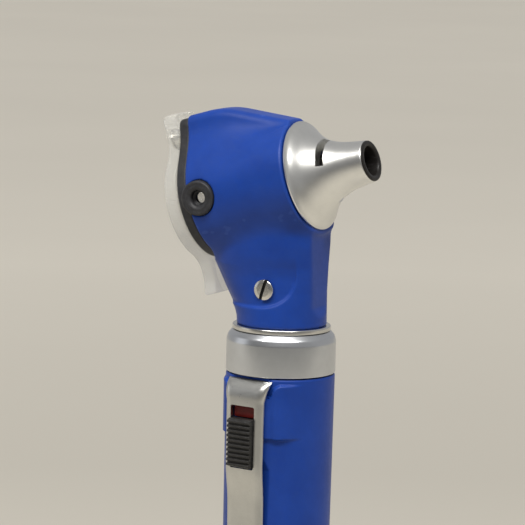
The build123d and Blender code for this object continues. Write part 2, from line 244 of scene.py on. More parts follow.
def net(name, field, lo, hi, h, place, relax=3, sharp=0.0):
    lo, hi = np.array(lo, float), np.array(hi, float)
    n = np.ceil((hi - lo) / h).astype(int) + 1
    ax = [lo[i] + h * np.arange(n[i]) for i in range(3)]
    X, Y, Z = np.meshgrid(*ax, indexing='ij')
    V = field(X, Y, Z)
    ins = V < 0
    tot = np.zeros(tuple(n - 1), np.int8)
    for i in (0, 1):
        for j in (0, 1):
            for k in (0, 1):
                tot += ins[i:n[0] - 1 + i, j:n[1] - 1 + j, k:n[2] - 1 + k]
    act = (tot > 0) & (tot < 8)
    idx = -np.ones(act.shape, np.int64)
    count = int(act.sum())
    idx[act] = np.arange(count)
    acc = np.zeros((count, 3))
    num = np.zeros(count)
    quads = []
    for a in range(3):
        sl0 = [slice(None)] * 3
        sl1 = [slice(None)] * 3
        sl0[a], sl1[a] = slice(0, -1), slice(1, None)
        va, vb = V[tuple(sl0)], V[tuple(sl1)]
        cr = (va < 0) != (vb < 0)
        e = np.stack(np.nonzero(cr), 1)
        t = va[cr] / (va[cr] - vb[cr])
        pos = lo + h * e.astype(float)
        pos[:, a] += h * t
        b, c = (a + 1) % 3, (a + 2) % 3
        ids, good = [], np.ones(len(e), bool)
        for db, dc in ((0, 0), (-1, 0), (-1, -1), (0, -1)):
            cc = e.copy()
            cc[:, b] += db
            cc[:, c] += dc
            ok = np.all((cc >= 0) & (cc < np.array(act.shape)), 1)
            cc = np.clip(cc, 0, np.array(act.shape) - 1)
            i = idx[cc[:, 0], cc[:, 1], cc[:, 2]]
            ok &= i >= 0
            good &= ok
            np.add.at(acc, i[ok], pos[ok])
            np.add.at(num, i[ok], 1)
            ids.append(i)
        q = np.stack(ids, 1)[good]
        q[~(va[cr][good] < 0)] = q[~(va[cr][good] < 0)][:, ::-1]
        quads.append(q)
    P = acc / num[:, None]
    F = np.concatenate(quads)
    E = np.concatenate([F[:, [0, 1]], F[:, [1, 2]], F[:, [2, 3]], F[:, [3, 0]]])

    def project(P, times):
        e = 0.02
        for _ in range(times):
            g = np.stack([field(P[:, 0] + e, P[:, 1], P[:, 2]) - field(P[:, 0] - e, P[:, 1], P[:, 2]),
                          field(P[:, 0], P[:, 1] + e, P[:, 2]) - field(P[:, 0], P[:, 1] - e, P[:, 2]),
                          field(P[:, 0], P[:, 1], P[:, 2] + e) - field(P[:, 0], P[:, 1], P[:, 2] - e)], 1) / (2 * e)
            v = field(P[:, 0], P[:, 1], P[:, 2])
            st = -v[:, None] * g / np.maximum((g * g).sum(1), 0.05)[:, None]
            ln = np.linalg.norm(st, axis=1)
            st *= np.minimum(1.0, 0.4 * h / np.maximum(ln, 1e-9))[:, None]
            P = P + st
        return P

    P = project(P, 3)
    for _ in range(relax):
        s = np.zeros_like(P)
        c = np.zeros(len(P))
        np.add.at(s, E[:, 0], P[E[:, 1]])
        np.add.at(s, E[:, 1], P[E[:, 0]])
        np.add.at(c, E[:, 0], 1)
        np.add.at(c, E[:, 1], 1)
        P = project(P * 0.5 + 0.5 * s / c[:, None], 2)
    return make(name, place(P), F, sharp)


# ------------------------------------------------------------------ materials
class Tree:
    def __init__(self, name):
        self.m = bpy.data.materials.new(name)
        self.m.use_nodes = True
        self.nt = self.m.node_tree
        self.nt.nodes.clear()
        self.out = self.node('ShaderNodeOutputMaterial')
        self.b = self.node('ShaderNodeBsdfPrincipled')
        self.link(self.b.outputs[0], self.out.inputs[0])
        tc = self.node('ShaderNodeTexCoord')
        mp = self.node('ShaderNodeMapping')
        mp.inputs['Scale'].default_value = (1000, 1000, 1000)
        self.link(tc.outputs['Object'], mp.inputs['Vector'])
        self.p = mp.outputs[0]                     # position in millimetres

    def node(self, t, **kw):
        n = self.nt.nodes.new(t)
        for k, v in kw.items():
            setattr(n, k, v)
        return n

    def link(self, a, b):
        self.nt.links.new(a, b)

    def scaled(self, s, rot=(0, 0, 0)):
        mp = self.node('ShaderNodeMapping')
        mp.inputs['Scale'].default_value = s
        mp.inputs['Rotation'].default_value = rot
        self.link(self.p, mp.inputs['Vector'])
        return mp.outputs[0]

    def noise(self, scale, detail=3.0, rough=0.5, vec=None, dist=0.0):
        n = self.node('ShaderNodeTexNoise')
        n.inputs['Scale'].default_value = scale
        n.inputs['Detail'].default_value = detail
        n.inputs['Roughness'].default_value = rough
        n.inputs['Distortion'].default_value = dist
        self.link(vec if vec is not None else self.p, n.inputs['Vector'])
        return n.outputs['Fac']

    def along(self, axis, scale, detail=4.0, rough=0.6):
        """Noise that only varies along axis: the lines of turning."""
        dt = self.node('ShaderNodeVectorMath', operation='DOT_PRODUCT')
        dt.inputs[1].default_value = axis
        self.link(self.p, dt.inputs[0])
        n = self.node('ShaderNodeTexNoise', noise_dimensions='1D')
        n.inputs['Scale'].default_value = scale
        n.inputs['Detail'].default_value = detail
        n.inputs['Roughness'].default_value = rough
        self.link(dt.outputs['Value'], n.inputs['W'])
        return n.outputs['Fac']

    def ramp(self, fac, stops):
        r = self.node('ShaderNodeValToRGB')
        while len(r.color_ramp.elements) < len(stops):
            r.color_ramp.elements.new(0.5)
        for e, (pos, c) in zip(r.color_ramp.elements, stops):
            e.position = pos
            e.color = (*c, 1.0) if len(c) == 3 else c
        self.link(fac, r.inputs[0])
        return r.outputs[0]

    def span(self, fac, lo, hi, a=0.3, b=0.7):
        m = self.node('ShaderNodeMapRange')
        m.inputs['From Min'].default_value = a
        m.inputs['From Max'].default_value = b
        m.inputs['To Min'].default_value = lo
        m.inputs['To Max'].default_value = hi
        self.link(fac, m.inputs['Value'])
        return m.outputs[0]

    def mix(self, fac, a, b, mode='MIX'):
        m = self.node('ShaderNodeMix', data_type='RGBA', blend_type=mode)
        if isinstance(fac, float):
            m.inputs[0].default_value = fac
        else:
            self.link(fac, m.inputs[0])
        for s, v in ((m.inputs[6], a), (m.inputs[7], b)):
            if isinstance(v, tuple):
                s.default_value = (*v, 1.0)
            else:
                self.link(v, s)
        return m.outputs[2]

    def math(self, op, a, b=0.0):
        m = self.node('ShaderNodeMath', operation=op)
        for s, v in zip(m.inputs, (a, b)):
            if isinstance(v, (int, float)):
                s.default_value = v
            else:
                self.link(v, s)
        return m.outputs[0]

    def bump(self, height, dist_mm, strength=1.0, prev=None):
        b = self.node('ShaderNodeBump')
        b.inputs['Strength'].default_value = strength
        b.inputs['Distance'].default_value = dist_mm * MM
        self.link(height, b.inputs['Height'])
        if prev is not None:
            self.link(prev, b.inputs['Normal'])
        return b.outputs[0]

    def put(self, **kw):
        names = {'base': 'Base Color', 'rough': 'Roughness', 'metal': 'Metallic', 'normal': 'Normal', 'ior': 'IOR',
                 'trans': 'Transmission Weight', 'coat': 'Coat Weight', 'coat_rough': 'Coat Roughness',
                 'spec': 'Specular IOR Level', 'sheen': 'Sheen Weight', 'aniso': 'Anisotropic',
                 'sss': 'Subsurface Weight', 'alpha': 'Alpha'}
        for k, v in kw.items():
            s = self.b.inputs[names[k]]
            if isinstance(v, (int, float)):
                s.default_value = v
            elif isinstance(v, tuple):
                s.default_value = (*v, 1.0)
            else:
                self.link(v, s)
        return self.m


def scratches(t, scale, rot, width=0.012, thin=0.5):
    v = t.scaled((scale * 0.03, scale, scale), rot)
    n = t.noise(1.0, 2.0, 0.4, v, 0.3)
    d = t.math('ABSOLUTE', t.math('SUBTRACT', n, thin))
    return t.math('LESS_THAN', d, width)


def blue_plastic(name, lines=True):
    t = Tree(name)
    big = t.noise(0.16, 3, 0.55)
    mid = t.noise(1.1, 4, 0.6)
    fine = t.noise(9.0, 3, 0.6)
    col = t.ramp(big, [(0.32, (0.0072, 0.0425, 0.2780)), (0.5, (0.0084, 0.0490, 0.3120)), (0.7, (0.0110, 0.0555, 0.3400))])
    col = t.mix(t.span(mid, 0.0, 0.35), col, (0.013, 0.050, 0.255))
    sc = scratches(t, 2.2, (0.4, 0.2, 1.1), 0.004)
    sc2 = scratches(t, 3.1, (1.3, 0.9, 0.3), 0.003, 0.47)
    s = t.math('MAXIMUM', sc, sc2)
    s = t.math('MULTIPLY', s, t.span(t.noise(0.35, 2), 0.0, 1.0, 0.48, 0.62))
    col = t.mix(t.math('MULTIPLY', s, 0.12), col, (0.075, 0.14, 0.42))
    geo = t.node('ShaderNodeNewGeometry')
    edge = t.span(geo.outputs['Pointiness'], 0.0, 1.0, 0.52, 0.60)
    col = t.mix(t.math('MULTIPLY', edge, 0.25), col, (0.05, 0.12, 0.48))
    rough = t.math('ADD', t.span(mid, 0.37, 0.46), t.math('MULTIPLY', s, 0.12))
    nb = t.bump(fine, 0.010, 0.55)
    nb = t.bump(mid, 0.02, 0.35, nb)
    return t.put(base=col, rough=rough, normal=nb, ior=1.5, spec=0.26)


def turned_metal(name, axis, base=(0.80, 0.79, 0.755), rough=0.30, line=0.0030, scale=7.0, grain=0.003, vary=1.0):
    t = Tree(name)
    ln = t.along(axis, scale, 5, 0.75)
    ln2 = t.along(axis, scale * 4.5, 3, 0.7)
    cloud = t.noise(0.35, 4, 0.6)
    spot = t.noise(3.5, 3, 0.6)
    c0 = tuple(x * 0.93 for x in base)
    col = t.ramp(cloud, [(0.3, c0), (0.7, base)])
    col = t.mix(t.span(ln, 0.0, 0.22 * vary), col, tuple(x * 0.84 for x in base))
    r = t.math('ADD', t.span(ln, rough - 0.03 * vary, rough + 0.05 * vary), t.span(spot, -0.02 * vary, 0.05 * vary))
    nb = t.bump(ln, line, 1.0)
    nb = t.bump(ln2, line * 0.12, 1.0, nb)
    nb = t.bump(spot, grain, 0.4, nb)
    return t.put(base=col, metal=1.0, rough=r, normal=nb)


def brushed_metal(name, stretch, base, rough, depth=0.003):
    t = Tree(name)
    ln = t.noise(1.0, 4, 0.65, t.scaled(stretch))
    cloud = t.noise(0.3, 3, 0.6)
    spot = t.noise(2.2, 4, 0.6)
    col = t.ramp(cloud, [(0.3, tuple(x * 0.92 for x in base)), (0.7, base)])
    col = t.mix(t.span(spot, 0.0, 0.18), col, tuple(x * 0.8 for x in base))
    r = t.math('ADD', t.span(ln, rough - 0.03, rough + 0.05), t.span(spot, -0.03, 0.05))
    nb = t.bump(ln, depth, 1.0)
    return t.put(base=col, metal=1.0, rough=r, normal=nb)


def black_plastic(name, tone=(0.030, 0.030, 0.033), rough=0.42):
    t = Tree(name)
    mid = t.noise(0.8, 4, 0.6)
    fine = t.noise(10.0, 3, 0.6)
    col = t.ramp(mid, [(0.3, tuple(x * 0.75 for x in tone)), (0.72, tuple(x * 1.35 for x in tone))])
    s = scratches(t, 2.8, (0.3, 1.2, 0.4), 0.004)
    col = t.mix(t.math('MULTIPLY', s, 0.35), col, (0.11, 0.11, 0.115))
    nb = t.bump(fine, 0.012, 0.7)
    return t.put(base=col, rough=t.span(mid, rough - 0.05, rough + 0.08), normal=nb, ior=1.5, spec=0.28)


def clear_plastic(name):
    t = Tree(name)
    smear = t.noise(0.25, 4, 0.6)
    fine = t.noise(1.6, 3, 0.5)
    sc = scratches(t, 2.0, (0.9, 0.4, 0.2), 0.0025)
    rough = t.math('ADD', t.span(smear, 0.16, 0.30, 0.4, 0.8), t.math('MULTIPLY', sc, 0.10))
    col = t.ramp(smear, [(0.3, (0.965, 0.960, 0.915)), (0.75, (0.935, 0.930, 0.885))])
    nb = t.bump(fine, 0.006, 0.35)
    return t.put(base=col, rough=rough, trans=0.5, ior=1.22, normal=nb, alpha=0.40)


def simple(name, base, rough, metal=0.0, grain=3.0, depth=0.008, var=0.25, **kw):
    t = Tree(name)
    n = t.noise(grain * 0.3, 4, 0.6)
    f = t.noise(grain * 2.5, 3, 0.6)
    col = t.ramp(n, [(0.3, tuple(x * (1 - var) for x in base)), (0.7, tuple(min(1, x * (1 + var * 0.4)) for x in base))])
    return t.put(base=col, metal=metal, rough=t.span(f, rough - 0.04, rough + 0.08), normal=t.bump(f, depth, 0.6), **kw)


VAX = (CA, 0.0, SA)
BLUE = blue_plastic("blue_shell_plastic")
CONE_MET = turned_metal("satin_turned_cone", VAX, base=(0.80, 0.795, 0.765), rough=0.30, line=0.00025, grain=0.0001, vary=0.25)
COLLAR_MET = turned_metal("satin_turned_collar", (0, 0, 1), base=(0.630, 0.645, 0.665), rough=0.30, line=0.0005, grain=0.0002, vary=0.4)
NECK_MET = turned_metal("polished_neck", (0, 0, 1), base=(0.66, 0.65, 0.62), rough=0.16, line=0.0015)
CAP_MET = turned_metal("satin_tail_cap", (0, 0, 1), base=(0.76, 0.75, 0.73), rough=0.30)
CLIP_MET = brushed_metal("satin_clip", (2.2, 2.2, 9.0), (0.62, 0.615, 0.585), 0.31)
SCREW_MET = simple("bright_nickel", (0.68, 0.66, 0.62), 0.22, 1.0, 2.0, 0.006, 0.12)
BLACK = black_plastic("black_frame_plastic")
SLIDER = black_plastic("black_slider_plastic", (0.026, 0.025, 0.024), 0.36)
SLEEVE = black_plastic("black_sleeve", (0.012, 0.0105, 0.0095), 0.38)
CLEAR = clear_plastic("clear_acrylic")
RED = simple("red_flag", (0.15, 0.010, 0.008), 0.42, 0.0, 2.5, 0.006, 0.3, spec=0.3)


def screw_metal(name, angle):
    """Bright nickel with painted shade in the driver slot, which runs at angle from the vertical."""
    t = Tree(name)
    n = t.noise(0.6, 4, 0.6)
    f = t.noise(5.0, 3, 0.6)
    col = t.ramp(n, [(0.3, (0.58, 0.565, 0.53)), (0.7, (0.70, 0.68, 0.64))])
    dt = t.node('ShaderNodeVectorMath', operation='DOT_PRODUCT')
    dt.inputs[1].default_value = (math.cos(angle), 0.0, -math.sin(angle))
    t.link(t.p, dt.inputs[0])
    u = t.math('ABSOLUTE', t.math('ADD', dt.outputs['Value'], (ZC + 15.65) * math.sin(angle)))
    # painted shade: the driver slot is filled near-black, non-metallic and rough to stand for its shadow
    slot = t.math('LESS_THAN', u, 0.304)
    col = t.mix(slot, col, (0.010, 0.009, 0.008))
    metal = t.math('SUBTRACT', 1.0, slot)
    rough = t.math('ADD', t.span(f, 0.18, 0.30), t.math('MULTIPLY', slot, 0.5))
    return t.put(base=col, metal=metal, rough=rough, normal=t.bump(f, 0.004, 0.5))


SCREW_L = screw_metal("bright_nickel_left", math.radians(17))
SCREW_R = screw_metal("bright_nickel_right", math.radians(-34))
BRASS = simple("plain_brass", (0.74, 0.55, 0.26), 0.30, 1.0, 1.5, 0.006, 0.2)
STEEL = brushed_metal("spring_wire", (1.5, 1.5, 1.5), (0.62, 0.61, 0.60), 0.28)
# dark rubber for the tail cap seal; on cone_gasket the same near-black is painted shade for the shadow gap behind the
# trumpet's rim
RUBBER_AND_GAP_SHADE = simple("seal_rubber_and_gap_shade", (0.016, 0.016, 0.016), 0.62, 0.0, 3.0, 0.01, 0.3)
WHITE = simple("lamp_insulator_white", (0.72, 0.71, 0.66), 0.45, 0.0, 2.0, 0.006, 0.1)
GLASS = simple("lamp_bulb_glass", (0.95, 0.95, 0.93), 0.06, 0.0, 1.0, 0.004, 0.03, trans=1.0, ior=1.46)


def cell_jacket():
    t = Tree("cell_jacket")
    n = t.noise(0.4, 3, 0.6)
    sep = t.node('ShaderNodeSeparateXYZ')
    t.link(t.p, sep.inputs[0])
    w = t.math('FRACT', t.math('DIVIDE', t.math('SUBTRACT', sep.outputs['Z'], 9.0), 50.5))
    band = t.math('GREATER_THAN', w, 0.68)
    dark = t.ramp(n, [(0.3, (0.030, 0.032, 0.036)), (0.7, (0.05, 0.052, 0.058))])
    gold = t.ramp(n, [(0.3, (0.50, 0.27, 0.10)), (0.7, (0.62, 0.36, 0.15))])
    col = t.mix(band, dark, gold)
    return t.put(base=col, metal=0.55, rough=t.span(n, 0.25, 0.38), normal=t.bump(t.noise(2, 3), 0.006, 0.4))


CELL = cell_jacket()


def own(ob, body, slot, mat, *nodes):
    ob.data.materials.clear()
    ob.data.materials.append(mat)
    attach(ob, body)
    if nodes:
        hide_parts(*nodes)
    return ob


def paint(node, mat):
    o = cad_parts[node]
    for s in o.material_slots:
        s.material = mat
    if not o.material_slots:
        o.data.materials.append(mat)


# ------------------------------------------------------------------ head shell
PORT_Q, PORT_S = 17.8, 0.65
ZK = np.array([6.0, 8.63, 10.6, 15.0, 19.6, 23.5, 33.0])


def to_obj(s, q):
    return 5.0 - q * CA - s * SA, 36.06 - q * SA + s * CA


def upper_field(Y, S, Q):
    R = 10.4 + 0.02 * np.clip(Q, 0, 20)
    drum = np.sqrt(Y * Y + S * S) - R
    top = smin(15.8 + 0 * Q, 10.4 + 0.4154 * np.clip(Q, -3, 40), 1.2)
    half = 3.9 + 0.03 * np.clip(15.8 - S, 0, 10) - 0.035 * np.clip(20 - Q, 0, 20)
    hump = smax(np.abs(Y) - half, (S - top) * 0.95, 1.7)
    hump = smax(hump, -S, 0.5)
    k = np.maximum(0.35, 1.25 * (top - R))
    return smin(drum, hump, k)


def lower_field(Y, S, Q):
    X, Z = to_obj(S, Q)
    xr = -8.25 - 0.5415 * smax(Z - 10.7, 0 * Z, 1.4)
    xr_up = -13.12 + (Z - 19.6) * 0.2615
    xr = np.where(Z > 19.6, np.where(Z > 23.5, -12.1 - 0.12 * (Z - 23.5) + 0.10 * (Z - 23.5), xr_up), xr)
    xf = np.interp(Z, ZK, [8.2, 8.2, 8.16, 8.25, 8.60, 8.92, 8.97])
    w = np.interp(Z, ZK, [8.2, 8.2, 8.12, 7.84, 7.88, 7.93, 7.95])
    bl = sstep(9.0, 16.0, Z)
    cx, ax = (xr + xf) / 2, (xf - xr) / 2
    u, v = np.abs(X - cx) / ax, np.abs(Y) / w
    p = 2.0 + bl * np.where(X > cx, 0.05, 0.35)
    rho = (u ** p + v ** p + 1e-9) ** (1.0 / p)
    f = (rho - 1.0) * 8.2
    # narrow flat facet down the front
    f = smax(f, X - (8.6 - 1.1 * sstep(9.0, 12.6, Z)), 0.3)
    f = smax(f, 8.63 - Z, 0.45)
    f = smax(f, Z - 31.0, 0.5)
    # the side flats and the scooped ledge round each screw
    zone = smax(X - 5.4, 12.35 - Z, 6.5)
    press = (1 - sstep(-0.34, 0.22, zone)) * (1 - sstep(17.4, 22.0, Z)) * sstep(2.2, 4.2, np.abs(Y))
    f = f + 0.48 * press
    # the throat under the trumpet's rim
    rad = np.sqrt(Y * Y + S * S)
    under = smax(Q - 0.3, rad - 10.5, 0.3)
    f = smax(f, -under, 0.3)
    f = smax(f, -smax(Q - 0.3, 27.3 - Z, 1.0), 1.1)
    return f


def head_field(Y, S, Q):
    up = upper_field(Y, S, Q)
    up = smax(up, 0.3 - Q, 0.35)
    up = smax(up, Q - 20.0, 0.35)
    low = smax(lower_field(Y, S, Q), Q - 21.9, 0.3)
    f = smin(up, low, 1.6)
    rad = np.sqrt(Y * Y + S * S)
    rb = np.interp(Q, [-5, 3.0, 3.05, 20, 30], [8.62, 8.62, 7.9, 8.3, 8.3])
    f = smax(f, rb - rad, 0.25)
    X, Z = to_obj(S, Q)
    axr = np.sqrt(X * X + Y * Y)
    f = smax(f, 6.2 - smax(axr, Z - 31 + 6.2, 0.3), 0.25)
    pr = np.sqrt((S - PORT_S) ** 2 + (Q - PORT_Q) ** 2)
    f = smax(f, -smax(pr - 3.24, Y + 6.5, 0.2), 0.25)
    return f


def place_view(p):
    return from_view(p)


H = 0.27
shell = net("head_shell_blue", head_field, (-12.2, -28.2, -1.6), (12.2, 16.9, 22.6), H, place_view)
own(shell, "head", "blue_plastic", BLUE, "head_shell")


# ------------------------------------------------------------------ window frame with the port boss
def frame_field(Y, S, Q):
    f = upper_field(Y, S, np.full_like(Q, 20.0)) + 0.32
    f = smax(f, Q - 22.0, 0.4)
    f = smax(f, 20.06 - Q, 0.15)
    low = lower_field(Y, S, Q)
    f = smax(f, 0.08 - low, 0.15)
    pr = np.sqrt((S - PORT_S) ** 2 + (Q - PORT_Q) ** 2)
    boss = smax(smax(pr - 3.18, -11.15 - Y, 0.45), Y + 8.75, 0.2)
    f = smin(f, boss, 0.7)
    rad = np.sqrt(Y * Y + S * S)
    f = smax(f, np.where(Q < 20.9, 8.3, 8.2) - rad, 0.3)
    # stepped hole with a chamfered mouth and a shallow ring round it
    mouth = pr - (1.45 + 0.55 * np.clip((-10.8 - Y) / 0.35, 0, 2))
    f = smax(f, -smax(mouth, Y + 9.75, 0.15), 0.15)
    f = smax(f, 0.98 - pr, 0.1)
    groove = np.sqrt((pr - 2.45) ** 2 + (Y + 11.2) ** 2) - 0.17
    f = smax(f, -groove, 0.1)
    pin = np.sqrt(Y * Y + (S - 12.3) ** 2)
    f = smax(f, 1.72 - pin, 0.1)
    return f


wf = net("window_frame_black", frame_field, (-12.0, -11.4, 14.0), (11.9, 16.4, 22.5), 0.2,
         place_view)
own(wf, "head", "black_plastic", BLACK, "window_frame")


# ------------------------------------------------------------------ swivel magnifier
def lens_outline(Y, S):
    disc = np.sqrt(Y * Y + S * S) - 10.4
    neck = smax(smax(np.abs(Y) - 4.3, S - 16.85, 1.8), -S, 0.5)
    hw = 3.0 + 0.36 * np.clip(-S - 14.0, 0, 3)
    tab = smax(smax(np.abs(Y) - hw, -16.85 - S, 0.7), S, 0.5)
    return smin(smin(disc, neck, 3.2), tab, 3.0)


def lens_field(Y, S, Q):
    f = lens_outline(Y, S)
    rad = np.sqrt(Y * Y + S * S)
    rear = 24.8 + 0.75 * np.clip(1 - (rad / 8.2) ** 2, 0, 1)
    lip = smax(smax(np.abs(Y) - 3.4, np.abs(S - 15.6) - 1.0, 0.4), Q - 25.28, 0.3)
    slab = smin(Q - rear, lip, 0.35)
    f = smax(f, slab * 0.98, 0.45)
    f = smax(f, 22.32 - Q, 0.3)
    pin = np.sqrt(Y * Y + (S - 12.3) ** 2)
    f = smax(f, 1.76 - pin, 0.1)
    return f


lens = net("magnifier_clear", lens_field, (-10.9, -17.4, 21.9), (10.9, 17.3, 26.2), 0.2, place_view)
own(lens, "lens", "clear_acrylic", CLEAR, "magnifier_lens")

pin = lathe("lens_pin_metal", fillet([(0, 17.0, 0), (1.69, 17.0, 0.1), (1.69, 24.96, 0), (2.12, 24.96, 0.1),
                                      (2.05, 25.32, 0.2), (0, 25.34, 0)]), 64, 'V', (0.0, 12.3))
own(pin, "head", "polished_metal", SCREW_MET, "lens_pivot_pin")

# ------------------------------------------------------------------ trumpet cone
outer = catmull([(10.0, -0.35), (9.55, -0.62), (8.9, -1.2), (7.7, -2.2), (6.75, -3.2), (5.9, -4.3), (5.25, -5.5),
                 (4.70, -7.0), (4.25, -9.0), (3.95, -11.0), (3.80, -12.15)], 10)
prof = [(p[0], p[1]) for p in outer]
prof += [(3.77, -12.24), (3.70, -12.30), (3.3, -12.31), (3.215, -12.31)]
prof += [(3.215, -7.0), (3.7, -5.5), (4.6, -3.4), (5.9, -1.2), (6.1, 0.0), (6.1, 2.25), (7.13, 2.25), (7.13, 0.02),
         (9.9, 0.02), (9.98, -0.06), (10.0, -0.15)]
cone = lathe("trumpet_cone", prof, 256, 'V')
for turn in (0, 180):
    n, r1, z0, z1 = 30, 9.0, -5.5, -4.25
    pts = []
    for k in range(n + 1):
        # from 12 degrees above the -Y side to the top
        a = math.radians(180 - 12.0 - 78.0 * k / n + turn)
        pts.append((math.cos(a), math.sin(a)))
    v = []
    for z in (z0, z1):
        v += [(3.36 * c, 3.36 * s, z) for c, s in pts] + [(r1 * c, r1 * s, z) for c, s in pts[::-1]]
    m = 2 * (n + 1)
    f = [tuple(range(m))[::-1], tuple(range(m, 2 * m))]
    f += [(i, (i + 1) % m, m + (i + 1) % m, m + i) for i in range(m)]
    cut(cone, make("cutter", from_view(np.array(v)), f))
own(cone, "head", "satin_aluminium", CONE_MET, "speculum_cone")

sleeve = lathe("cone_sleeve_black",
               [(3.2, -12.33), (3.2, -2.6), (2.65, -2.6), (2.65, -12.3), (2.72, -12.5), (2.9, -12.64), (3.2, -12.70),
                (3.5, -12.68), (3.68, -12.58), (3.72, -12.44), (3.68, -12.34)],
               96, 'V')
own(sleeve, "head", "black_plastic", SLEEVE, "cone_inner_sleeve")

# ------------------------------------------------------------------ side screws
for side, tag in ((-1, "left"), (1, "right")):
    o = fillet([(0, 5.4, 0), (0.98, 5.4, 0.05), (0.98, 7.36, 0), (1.9, 7.36, 0.05), (1.9, 7.86, 0.22), (1.25, 8.07, 0.5),
                (0, 8.1, 0)], 4)
    s = lathe("head_screw_" + tag, [(r, h * side) for r, h in o], 96, 'Y', (0.0, ZC + 15.65))
    a = math.radians(17 if side < 0 else -34)
    c, sn = math.cos(a), math.sin(a)
    bx = []
    for y in (7.50 * side, 8.6 * side):
        for u, w in ((-0.30, -3), (0.30, -3), (0.30, 3), (-0.30, 3)):
            bx.append((u * c + w * sn, y, ZC + 15.65 - u * sn + w * c))
    f = [(0, 1, 2, 3), (4, 5, 6, 7), (0, 1, 5, 4), (1, 2, 6, 5), (2, 3, 7, 6), (3, 0, 4, 7)]
    cut(s, make("cutter", np.array(bx), f))
    if side < 0:
        own(s, "head", "polished_metal", SCREW_L, "head_screws")
    else:
        own(s, "head", "polished_metal", SCREW_R)

# ------------------------------------------------------------------ neck ring and collar
nr = lathe("neck_ring_bright", fillet([(7.0, ZC + 7.7, 0), (8.98, ZC + 7.7, 0.2), (9.0, ZC + 8.62, 0.28), (7.0, ZC + 8.62, 0)], 5), 256)
own(nr, "head", "nickel_brass", NECK_MET, "neck_ring")
cr = lathe("collar_satin", fillet([(7.06, ZC - 4.5, 0), (7.58, ZC - 4.5, 0.05), (7.58, ZC + 0.02, 0), (10.0, ZC + 0.02, 0.16),
                                   (10.0, ZC + 5.75, 1.4), (9.72, ZC + 6.75, 1.2), (8.95, ZC + 7.6, 0.25),
                                   (7.06, ZC + 7.6, 0.1)], 6), 256)
own(cr, "handle", "satin_aluminium", COLLAR_MET, "collar_ring")


# ------------------------------------------------------------------ handle tube
def handle_mesh():
    th = np.concatenate([np.radians(np.arange(-70, 70.001, 0.9)), np.radians(np.arange(73, 288, 3.0))])
    z = np.concatenate([np.array([12.45, 12.5, 12.6, 12.75]) - ZC, np.arange(-112.0, -70.5, 2.5), np.arange(-70.4, -67.4, 0.2),
                        np.arange(-67.0, -20.0, 1.5), np.arange(-19.6, -0.95, 0.15), np.arange(-0.95, -0.25, 0.1), [-0.25]])
    z = np.unique(np.round(z, 4))
    T, Z = np.meshgrid(th, z)
    base = np.interp(Z + ZC, [12.45, ZC - 28, ZC - 1, ZC], [9.35, 9.8, 9.95, 9.95])
    tm = np.where(T > math.pi, T - 2 * math.pi, T)
    R = base.copy()
    # raised saddle beside the clip head: rounded outline on the (arc, z) plane
    arc = np.abs(tm) * 9.95
    hgt = 0.93 * np.cos(np.clip(np.abs(tm), 0, 1.5)) * (1 - sstep(math.radians(34), math.radians(64), np.abs(tm)))
    d_bot = Z + 11.3
    d_top = -1.0 - Z
    corner = smax(-d_bot, -d_top, 0.2)
    # big radius on the top corner next to the clip
    corner2 = np.sqrt(np.maximum(arc - 4.3, 0) ** 2 * 0 + np.maximum(Z + 3.8, 0) ** 2 + np.maximum(7.0 - arc, 0) ** 2) - 2.9
    corner = np.where((Z > -3.8) & (arc < 7.0), np.maximum(corner, corner2), corner)
    rim = 0.60 + 0.40 * sstep(4.3, 5.25, np.abs(base * np.sin(np.clip(tm, -1.5, 1.5))))
    R = R + hgt * rim * (1 - sstep(-0.42, 0.05, corner))
    # pocket of the clip
    out = R * np.cos(tm)
    t = R * np.sin(tm)
    half = 4.22 + 0.75 * sstep(-5.5, -1.2, Z)
    flat = np.where(Z > -3.3, 8.85, 10.1)
    flat = np.where(Z < -11.5, np.interp(Z, [-16.9, -11.5], [8.8, 10.1]), flat)
    half = np.where(Z < -11.3, np.interp(Z, [-14.5, -11.3], [4.42, 4.22]), half)
    inside = (1 - sstep(half - 0.05, half + 0.22, np.abs(t))) * (np.abs(tm) < 1.0)
    inside = inside * sstep(-69.0, -68.6, Z)
    Rp = np.minimum(R, flat / np.maximum(np.cos(tm), 0.2))
    R = R * (1 - inside) + Rp * inside
    # softened rims
    R = R - 0.16 * (1 - sstep(-0.0, 0.25, (ZC + Z) - 12.45)) - 0.14 * sstep(-0.55, -0.25, Z)
    P = from_clip(np.stack([R * np.sin(tm), R * np.cos(tm), Z + ZC], -1))
    nz, nt = Z.shape
    V = P.reshape(-1, 3)
    F = []
    for i in range(nz - 1):
        for j in range(nt):
            k = (j + 1) % nt
            F.append((i * nt + j, i * nt + k, (i + 1) * nt + k, (i + 1) * nt + j))
    base_i = len(V)
    ring = []
    for zz, rr in ((12.45, 8.46), (19.3, 8.46), (19.3, 7.6), (ZC - 0.25, 7.6)):
        ring.append(from_clip(np.stack([rr * np.sin(th), rr * np.cos(th), np.full_like(th, zz)], -1)))
    V = np.concatenate([V] + ring)
    for j in range(nt):
        k = (j + 1) % nt
        F.append((j, k, base_i + k, base_i + j))
        for a in range(3):
            b0, b1 = base_i + a * nt, base_i + (a + 1) * nt
            F.append((b0 + j, b0 + k, b1 + k, b1 + j))
        F.append(((nz - 1) * nt + j, (nz - 1) * nt + k, base_i + 3 * nt + k, base_i + 3 * nt + j))
    ob = make("handle_tube_blue", V, F, 50.0)
    # the slot in the wall under the switch
    o = [(5.0, ZC - 14.4), (12.0, ZC - 14.4), (12.0, ZC - 7.45), (5.0, ZC - 7.45)]
    cut(ob, prism("cutter", o, -1.55, 1.55, from_clip), sharp=50.0)
    return ob


own(handle_mesh(), "handle", "blue_plastic", BLUE, "handle_tube")


